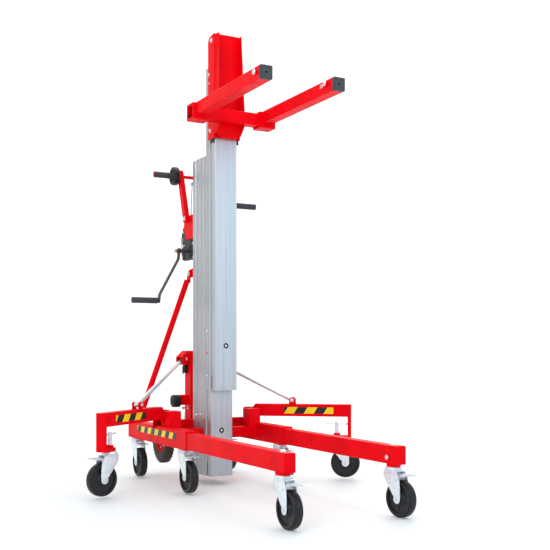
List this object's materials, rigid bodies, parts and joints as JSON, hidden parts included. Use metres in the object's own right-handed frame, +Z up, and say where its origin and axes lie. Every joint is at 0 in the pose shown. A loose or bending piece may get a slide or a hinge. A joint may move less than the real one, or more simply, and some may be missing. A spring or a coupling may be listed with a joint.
{
  "type": "material lift",
  "caption": "Hand-cranked material lift with a telescopic aluminium mast, two lifting forks, sliding legs on casters, fold-up outriggers and a two-handed winch.",
  "frame": {"origin": "middle of the overall box at floor level, under the front casters' lowest points", "axes": "+Z up, -Y towards the fork tips and leg ends, +X across to the side of the raised crank"},
  "size_m": [1.4561, 1.8497, 2.231],
  "materials": {
    "red_paint": "gloss",
    "anodised_aluminium": "satin",
    "zinc_plate": "satin",
    "bright_steel": "satin",
    "black_rubber": "matte",
    "black_plastic": "matte",
    "grey_plastic": "matte",
    "dark_steel": "satin",
    "pedal_grey": "satin"
  },
  "bodies": {
    "chassis": {"chassis": "red_paint", "mast_base": "anodised_aluminium", "winch_frame": "red_paint", "winch_cover": "black_plastic", "handle_grip_left": "grey_plastic", "handle_grip_right": "grey_plastic", "brace_left": "red_paint", "brace_right": "red_paint", "lift_cable": "bright_steel"},
    "leg_left": {"leg_left": "red_paint"},
    "leg_right": {"leg_right": "red_paint"},
    "outrigger_left": {"outrigger_left": "red_paint"},
    "jack_screw_left": {"jack_screw_left": "zinc_plate"},
    "stay_left": {"stay_left": "anodised_aluminium"},
    "outrigger_right": {"outrigger_right": "red_paint"},
    "jack_screw_right": {"jack_screw_right": "zinc_plate"},
    "stay_right": {"stay_right": "anodised_aluminium"},
    "stay_head": {"stay_head": "red_paint"},
    "mast_lower": {"mast_lower": "anodised_aluminium"},
    "mast_upper": {"mast_upper": "anodised_aluminium"},
    "mast_top": {"mast_top": "anodised_aluminium"},
    "carriage": {"carriage": "red_paint"},
    "fork_left": {"fork_left": "red_paint", "fork_left_cap": "grey_plastic"},
    "fork_right": {"fork_right": "red_paint", "fork_right_cap": "grey_plastic"},
    "crank": {"crank": "dark_steel"},
    "winch_drum": {"winch_drum": "zinc_plate"},
    "crank_grip_left": {"crank_grip_left": "grey_plastic"},
    "crank_grip_right": {"crank_grip_right": "grey_plastic"},
    "loading_wheel_left": {"loading_wheel_left": "black_plastic"},
    "loading_wheel_right": {"loading_wheel_right": "black_plastic"},
    "transport_wheel_left": {"transport_wheel_left": "black_rubber"},
    "transport_wheel_right": {"transport_wheel_right": "black_rubber"},
    "roller_left": {"roller_left": "black_plastic"},
    "roller_right": {"roller_right": "black_plastic"},
    "yoke_front_left": {"yoke_front_left": "zinc_plate"},
    "wheel_front_left": {"wheel_front_left": "black_rubber"},
    "brake_front_left": {"brake_front_left": "pedal_grey"},
    "yoke_front_right": {"yoke_front_right": "zinc_plate"},
    "wheel_front_right": {"wheel_front_right": "black_rubber"},
    "brake_front_right": {"brake_front_right": "pedal_grey"},
    "yoke_middle_left": {"yoke_middle_left": "zinc_plate"},
    "wheel_middle_left": {"wheel_middle_left": "black_rubber"},
    "brake_middle_left": {"brake_middle_left": "pedal_grey"},
    "yoke_middle_right": {"yoke_middle_right": "zinc_plate"},
    "wheel_middle_right": {"wheel_middle_right": "black_rubber"},
    "brake_middle_right": {"brake_middle_right": "pedal_grey"},
    "yoke_rear_left": {"yoke_rear_left": "zinc_plate"},
    "wheel_rear_left": {"wheel_rear_left": "black_rubber"},
    "brake_rear_left": {"brake_rear_left": "pedal_grey"},
    "yoke_rear_right": {"yoke_rear_right": "zinc_plate"},
    "wheel_rear_right": {"wheel_rear_right": "black_rubber"},
    "brake_rear_right": {"brake_rear_right": "pedal_grey"},
    "yoke_outrigger_left": {"yoke_outrigger_left": "zinc_plate"},
    "wheel_outrigger_left": {"wheel_outrigger_left": "black_rubber"},
    "brake_outrigger_left": {"brake_outrigger_left": "pedal_grey"},
    "yoke_outrigger_right": {"yoke_outrigger_right": "zinc_plate"},
    "wheel_outrigger_right": {"wheel_outrigger_right": "black_rubber"},
    "brake_outrigger_right": {"brake_outrigger_right": "pedal_grey"}
  },
  "joints": [
    {"name": "leg_left_slide", "type": "slide", "parent": "chassis", "child": "leg_left", "axis": [0, 1, 0], "range_m": [0, 0.566]},
    {"name": "leg_right_slide", "type": "slide", "parent": "chassis", "child": "leg_right", "axis": [0, 1, 0], "range_m": [0, 0.566]},
    {"name": "outrigger_left_fold", "type": "hinge", "parent": "chassis", "child": "outrigger_left", "pos_m": [-0.26372, 0.45693, 0.352], "axis": [-0.6143, 0.7891, 0], "range_deg": [0, 32]},
    {"name": "outrigger_right_fold", "type": "hinge", "parent": "chassis", "child": "outrigger_right", "pos_m": [0.27432, 0.45693, 0.352], "axis": [-0.6143, -0.7891, 0], "range_deg": [0, 32]},
    {"name": "jack_left_screw", "type": "slide", "parent": "outrigger_left", "child": "jack_screw_left", "axis": [0, 0, 1], "range_m": [-0.035, 0]},
    {"name": "stay_left_hinge", "type": "hinge", "parent": "outrigger_left", "child": "stay_left", "pos_m": [-0.42469, 0.33162, 0.413], "axis": [-0.6143, 0.7891, 0], "range_deg": [-45.93, 0.3]},
    {"name": "jack_right_screw", "type": "slide", "parent": "outrigger_right", "child": "jack_screw_right", "axis": [0, 0, 1], "range_m": [-0.035, 0]},
    {"name": "stay_right_hinge", "type": "hinge", "parent": "outrigger_right", "child": "stay_right", "pos_m": [0.43529, 0.33162, 0.413], "axis": [-0.6143, -0.7891, 0], "range_deg": [-45.93, 0.3]},
    {"name": "stay_head_slide", "type": "slide", "parent": "chassis", "child": "stay_head", "axis": [0, 0, 1], "range_m": [-0.001, 0.1986]},
    {"name": "mast_lower_slide", "type": "slide", "parent": "chassis", "child": "mast_lower", "axis": [0, 0, 1], "range_m": [0, 1.35]},
    {"name": "mast_upper_slide", "type": "slide", "parent": "mast_lower", "child": "mast_upper", "axis": [0, 0, 1], "range_m": [0, 1.35]},
    {"name": "mast_top_slide", "type": "slide", "parent": "mast_upper", "child": "mast_top", "axis": [0, 0, 1], "range_m": [-0.431, 0.92]},
    {"name": "carriage_slide", "type": "slide", "parent": "mast_top", "child": "carriage", "axis": [0, 0, 1], "range_m": [-1.04, 0]},
    {"name": "fork_left_slide", "type": "slide", "parent": "carriage", "child": "fork_left", "axis": [1, 0, 0], "range_m": [0, 0.062]},
    {"name": "fork_right_slide", "type": "slide", "parent": "carriage", "child": "fork_right", "axis": [-1, 0, 0], "range_m": [0, 0.062]},
    {"name": "crank_spin", "type": "hinge", "parent": "chassis", "child": "crank", "pos_m": [0.0053, 0.6158, 1.197], "axis": [1, 0, 0], "continuous": true},
    {"name": "drum_spin", "type": "hinge", "parent": "chassis", "child": "winch_drum", "pos_m": [0.0053, 0.6108, 1.275], "axis": [1, 0, 0], "continuous": true},
    {"name": "crank_grip_left_spin", "type": "hinge", "parent": "crank", "child": "crank_grip_left", "pos_m": [-0.2807, 0.6158, 0.933], "axis": [1, 0, 0], "continuous": true},
    {"name": "crank_grip_right_spin", "type": "hinge", "parent": "crank", "child": "crank_grip_right", "pos_m": [0.2913, 0.6158, 1.461], "axis": [1, 0, 0], "continuous": true},
    {"name": "loading_wheel_left_spin", "type": "hinge", "parent": "chassis", "child": "loading_wheel_left", "pos_m": [-0.0917, 0.6728, 1.6], "axis": [1, 0, 0], "continuous": true},
    {"name": "loading_wheel_right_spin", "type": "hinge", "parent": "chassis", "child": "loading_wheel_right", "pos_m": [0.1023, 0.6728, 1.6], "axis": [1, 0, 0], "continuous": true},
    {"name": "transport_wheel_left_spin", "type": "hinge", "parent": "chassis", "child": "transport_wheel_left", "pos_m": [-0.1057, 0.7998, 0.186], "axis": [1, 0, 0], "continuous": true},
    {"name": "transport_wheel_right_spin", "type": "hinge", "parent": "chassis", "child": "transport_wheel_right", "pos_m": [0.1163, 0.7998, 0.186], "axis": [1, 0, 0], "continuous": true},
    {"name": "roller_left_spin", "type": "hinge", "parent": "chassis", "child": "roller_left", "pos_m": [-0.08945, 0.6628, 0.405], "axis": [1, 0, 0], "continuous": true},
    {"name": "roller_right_spin", "type": "hinge", "parent": "chassis", "child": "roller_right", "pos_m": [0.10005, 0.6628, 0.405], "axis": [1, 0, 0], "continuous": true},
    {"name": "caster_front_left_swivel", "type": "hinge", "parent": "leg_left", "child": "yoke_front_left", "pos_m": [-0.252, -0.8042, 0.19], "axis": [0, 0, 1], "continuous": true},
    {"name": "caster_front_left_roll", "type": "hinge", "parent": "yoke_front_left", "child": "wheel_front_left", "pos_m": [-0.25123, -0.84819, 0.076], "axis": [0.9998, 0.0175, 0], "continuous": true},
    {"name": "caster_front_left_brake", "type": "hinge", "parent": "yoke_front_left", "child": "brake_front_left", "pos_m": [-0.25155, -0.8302, 0.168], "axis": [0.9998, 0.0175, 0], "range_deg": [0, 12]},
    {"name": "caster_front_right_swivel", "type": "hinge", "parent": "leg_right", "child": "yoke_front_right", "pos_m": [0.2626, -0.8042, 0.19], "axis": [0, 0, 1], "continuous": true},
    {"name": "caster_front_right_roll", "type": "hinge", "parent": "yoke_front_right", "child": "wheel_front_right", "pos_m": [0.2672, -0.84796, 0.076], "axis": [0.9945, 0.1045, 0], "continuous": true},
    {"name": "caster_front_right_brake", "type": "hinge", "parent": "yoke_front_right", "child": "brake_front_right", "pos_m": [0.26532, -0.83006, 0.168], "axis": [0.9945, 0.1045, 0], "range_deg": [0, 12]},
    {"name": "caster_middle_left_swivel", "type": "hinge", "parent": "chassis", "child": "yoke_middle_left", "pos_m": [-0.252, 0.1528, 0.1953], "axis": [0, 0, 1], "continuous": true},
    {"name": "caster_middle_left_roll", "type": "hinge", "parent": "yoke_middle_left", "child": "wheel_middle_left", "pos_m": [-0.25123, 0.10881, 0.0813], "axis": [0.9998, 0.0175, 0], "continuous": true},
    {"name": "caster_middle_left_brake", "type": "hinge", "parent": "yoke_middle_left", "child": "brake_middle_left", "pos_m": [-0.25155, 0.1268, 0.1733], "axis": [0.9998, 0.0175, 0], "range_deg": [0, 12]},
    {"name": "caster_middle_right_swivel", "type": "hinge", "parent": "chassis", "child": "yoke_middle_right", "pos_m": [0.2626, 0.1528, 0.1953], "axis": [0, 0, 1], "continuous": true},
    {"name": "caster_middle_right_roll", "type": "hinge", "parent": "yoke_middle_right", "child": "wheel_middle_right", "pos_m": [0.25953, 0.10891, 0.0813], "axis": [0.9976, -0.0698, 0], "continuous": true},
    {"name": "caster_middle_right_brake", "type": "hinge", "parent": "yoke_middle_right", "child": "brake_middle_right", "pos_m": [0.26079, 0.12686, 0.1733], "axis": [0.9976, -0.0698, 0], "range_deg": [0, 12]},
    {"name": "caster_rear_left_swivel", "type": "hinge", "parent": "chassis", "child": "yoke_rear_left", "pos_m": [-0.252, 0.8028, 0.1953], "axis": [0, 0, 1], "continuous": true},
    {"name": "caster_rear_left_roll", "type": "hinge", "parent": "yoke_rear_left", "child": "wheel_rear_left", "pos_m": [-0.25354, 0.75883, 0.0813], "axis": [0.9994, -0.0349, 0], "continuous": true},
    {"name": "caster_rear_left_brake", "type": "hinge", "parent": "yoke_rear_left", "child": "brake_rear_left", "pos_m": [-0.25291, 0.77682, 0.1733], "axis": [0.9994, -0.0349, 0], "range_deg": [0, 12]},
    {"name": "caster_rear_right_swivel", "type": "hinge", "parent": "chassis", "child": "yoke_rear_right", "pos_m": [0.2626, 0.8028, 0.1953], "axis": [0, 0, 1], "continuous": true},
    {"name": "caster_rear_right_roll", "type": "hinge", "parent": "yoke_rear_right", "child": "wheel_rear_right", "pos_m": [0.2649, 0.75886, 0.0813], "axis": [0.9986, 0.0523, 0], "continuous": true},
    {"name": "caster_rear_right_brake", "type": "hinge", "parent": "yoke_rear_right", "child": "brake_rear_right", "pos_m": [0.26396, 0.77684, 0.1733], "axis": [0.9986, 0.0523, 0], "range_deg": [0, 12]},
    {"name": "caster_outrigger_left_swivel", "type": "hinge", "parent": "jack_screw_left", "child": "yoke_outrigger_left", "pos_m": [-0.60973, 0.18757, 0.202], "axis": [0, 0, 1], "continuous": true},
    {"name": "caster_outrigger_left_roll", "type": "hinge", "parent": "yoke_outrigger_left", "child": "wheel_outrigger_left", "pos_m": [-0.65165, 0.17419, 0.088], "axis": [0.304, -0.9527, 0], "continuous": true},
    {"name": "caster_outrigger_left_brake", "type": "hinge", "parent": "yoke_outrigger_left", "child": "brake_outrigger_left", "pos_m": [-0.6345, 0.17966, 0.18], "axis": [0.304, -0.9527, 0], "range_deg": [0, 12]},
    {"name": "caster_outrigger_right_swivel", "type": "hinge", "parent": "jack_screw_right", "child": "yoke_outrigger_right", "pos_m": [0.62033, 0.18757, 0.202], "axis": [0, 0, 1], "continuous": true},
    {"name": "caster_outrigger_right_roll", "type": "hinge", "parent": "yoke_outrigger_right", "child": "wheel_outrigger_right", "pos_m": [0.65723, 0.1636, 0.088], "axis": [0.5446, 0.8387, 0], "continuous": true},
    {"name": "caster_outrigger_right_brake", "type": "hinge", "parent": "yoke_outrigger_right", "child": "brake_outrigger_right", "pos_m": [0.64214, 0.17341, 0.18], "axis": [0.5446, 0.8387, 0], "range_deg": [0, 12]}
  ],
  "couplings": [
    {"joint": "outrigger_right_fold", "follows": "outrigger_left_fold", "ratio": 1},
    {"joint": "stay_left_hinge", "follows": "outrigger_left_fold", "ratio": -1.426},
    {"joint": "stay_right_hinge", "follows": "outrigger_left_fold", "ratio": -1.426},
    {"joint": "stay_head_slide", "follows": "outrigger_left_fold", "m_per_rad": 0.35386},
    {"joint": "drum_spin", "follows": "crank_spin", "ratio": -0.25}
  ]
}
